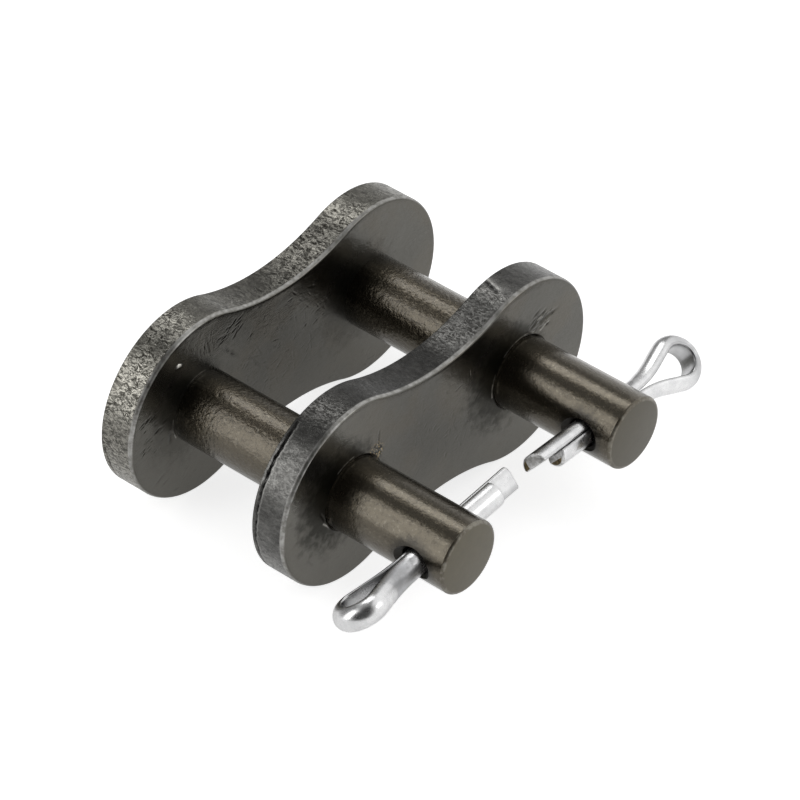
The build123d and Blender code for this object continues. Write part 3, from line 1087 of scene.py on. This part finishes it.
def floor():
    """A pale floor under the link, white to the camera and to reflections, that keeps the shadow."""
    half, z = FLOOR_HALF_SIDE, cad_box[0][2]
    corners = [(-half, -half, z), (half, -half, z), (half, half, z), (-half, half, z)]
    made = new_object("floor", new_mesh("floor", corners, [(0, 1, 2, 3)]))
    material = bpy.data.materials.new("floor_paper")
    s = Nodes(material)
    surface = s.tree.nodes["Principled BSDF"].inputs
    for key, value in (("Base Color", (0.8, 0.8, 0.8, 1)), ("Roughness", 1.0), ("Specular IOR Level", 0.0),
                       ("Emission Color", (1, 1, 1, 1))):
        surface[key].default_value = value
    seen, mirrored = s.rays()
    lean = s.dot(s.node("ShaderNodeTexCoord").outputs["Object"], FLOOR_LEAN)
    mirrored = s.times(mirrored, s.ramp(lean, -0.04, 0.04, *FLOOR_IN_REFLECTIONS))
    s.feed(surface["Emission Strength"], s.maths("MULTIPLY_ADD", seen, FLOOR_TO_CAMERA, mirrored))
    made.data.materials.append(material)


def area_lamp(name, width, length, radiance):
    data = bpy.data.lights.new(name, "AREA")
    data.shape = "RECTANGLE"
    data.size = width
    data.size_y = length
    data.energy = radiance * pi * width * length
    return new_object(name, data)


def softbox(name, turn, width, length, radiance):
    """A rectangular lamp that the pins mirror to the camera: turn is its angle about them from +X."""
    angle = radians(turn)
    lean = -TOWARDS_CAMERA[1]
    reach = sqrt(1 - lean**2)
    direction = Vector((reach * cos(angle), lean, reach * sin(angle)))
    along = (Vector((0, 1, 0)) - direction * lean).normalized()
    facing = Matrix((along.cross(direction), along, direction)).transposed().to_4x4()
    lamp = area_lamp(name, width, length, radiance)
    lamp.matrix_world = Matrix.Translation(direction * LAMP_DISTANCE) @ facing


def front_softbox(side, radiance):
    """A square lamp high at the front right, which the rolled edges and the pins' rims mirror."""
    lamp = area_lamp("front_softbox", side, side, radiance)
    direction = Vector(FRONT_SOFTBOX).normalized()
    lamp.location = direction * LAMP_DISTANCE
    lamp.rotation_euler = direction.to_track_quat("Z", "Y").to_euler()


def surroundings():
    """White to the camera, a tent to reflections, brighter on one side, and a lower light to the rest."""
    world = bpy.data.worlds.new("studio")
    bpy.context.scene.world = world
    s = Nodes(world)
    background = s.tree.nodes["Background"].inputs
    background["Color"].default_value = (1, 1, 1, 1)
    direction = s.node("ShaderNodeTexCoord").outputs["Generated"]
    bright_side = s.ramp(s.dot(direction, Vector(TENT_BRIGHT_SIDE).normalized()), 0.33, 0.47, 0.25, 1.0)
    opening = s.ramp(s.dot(direction, Vector(TOWARDS_CAMERA).normalized()), 0.55, 0.88, 1.0, 0.12)
    seen, mirrored = s.rays()
    lit = s.blend(mirrored, AMBIENT, s.times(bright_side, opening))
    s.feed(background["Strength"], s.blend(seen, lit, 1.0))


def place_camera():
    """The photograph's view: a long lens from the front left, looking down."""
    azimuth = radians(-50.7465)
    elevation = radians(38.8068)
    roll = radians(2.02)
    distance = 463.347 * MM
    image_size = 800.0
    focal = 4611.914  # in pixels, as aim_x and aim_y are
    aim = Vector((0, back_low.y, 0))
    aim_x, aim_y = 287.8, 346.8  # where the aim lies in the image
    back = Vector((sin(azimuth) * cos(elevation), -cos(azimuth) * cos(elevation), sin(elevation)))
    level = Vector((cos(azimuth), sin(azimuth), 0))
    upright = back.cross(level)
    right = level * cos(roll) + upright * sin(roll)
    up = upright * cos(roll) - level * sin(roll)
    across = (aim_x - image_size / 2) / focal * distance
    above = -(aim_y - image_size / 2) / focal * distance
    location = aim - right * across - up * above + back * distance
    data = bpy.data.cameras.new("camera")
    data.sensor_width = 36.0
    data.lens = focal / image_size * data.sensor_width
    data.clip_start = 0.01
    camera = new_object("camera", data)
    camera.matrix_world = Matrix.Translation(location) @ Matrix((right, up, back)).transposed().to_4x4()
    bpy.context.scene.camera = camera


# -------- the link
back_steel = plate_material("back_plate_steel", wall_dark=0.10, wall_light=0.19, cast=0.07, oil_and_shade=0.42,
                            specked=0.0, speckle_scale=3.5, scuffing=0.5)
cover_steel = plate_material("cover_plate_steel", wall_dark=0.075, wall_light=0.14, cast=0.03, oil_and_shade=0.92,
                             specked=1.0, speckle_scale=4.6, scuffing=0.15)
link_plate("back_link_plate", "back_plate", "link", back_low, back_high, pin_radius, 0.0,
           (BACK_MOTTLE, BACK_TONE_AND_LIGHT, BACK_MARKS, BACK_FOLD, None), back_steel)
link_plate("cover_link_plate", "cover_plate", "cover", cover_low, cover_high, pin_radius + slip_clearance,
           bore_lip, (COVER_MOTTLE, COVER_TONE_AND_LIGHT, COVER_MARKS, COVER_FOLD, COVER_NOTCH), cover_steel)

# The directions of the holes, along which the cotters draw out
hole_a = Vector((cos(hole_tilt_a), 0, sin(hole_tilt_a)))
hole_b = Vector((cos(hole_tilt_b), 0, sin(hole_tilt_b)))
hole_steel = hole_material()
pin_steel_a = pin_material("browned_pin_steel_a", mouth_z=-0.43, end_light=1.0)
pin_steel_b = pin_material("browned_pin_steel_b", mouth_z=0.0, end_light=0.72)
bearing_pin("pin_a_detail", "pin_a", -half_pitch, hole_a, [pin_steel_a, hole_steel])
bearing_pin("pin_b_detail", "pin_b", half_pitch, hole_b, [pin_steel_b, hole_steel])

cut_tip = cut_tip_material("cut_wire_tip", *CUT_STEEL)
cut_facet = cut_tip_material("cut_wire_facet", grey(0.5, 0.02), grey(0.8))
zinc_a = zinc_material("bright_zinc_a", light=0.82, dull_from=-21.3, dull_to=-17.4, dull_and_shaded_share=0.9)
zinc_b = zinc_material("bright_zinc_b", light=0.88, dull_from=24.2, dull_to=27.0, dull_and_shaded_share=0.6)
tips_a = (Tip(0.12 * MM, 0, -1, 0.7 * MM, 0.5), Tip(0.15 * MM, 0, 0, 0, 0))
tips_b = (Tip(0.26 * MM, 0, 1, -0.35 * MM, 0.4), Tip(0.26 * MM, -1, 0, -0.6 * MM, 0.45))
split_cotter("cotter_a_detail", "cotter_a", "split_cotter_a", -half_pitch, -hole_a, eye_turn_a, neck_reach_a,
             side_lie_a, tips_a, [zinc_a, cut_tip, cut_facet])
split_cotter("cotter_b_detail", "cotter_b", "split_cotter_b", half_pitch, hole_b, eye_turn_b, neck_reach_b,
             side_lie_b, tips_b, [zinc_b, cut_tip, cut_facet])

floor()
surroundings()
softbox("top_softbox", turn=70.5, width=0.22, length=0.35, radiance=2.4)
softbox("side_softbox", turn=150.0, width=0.58, length=0.35, radiance=1.75)
front_softbox(side=0.22, radiance=1.6)
place_camera()

scene = bpy.context.scene
scene.view_settings.view_transform = "Standard"
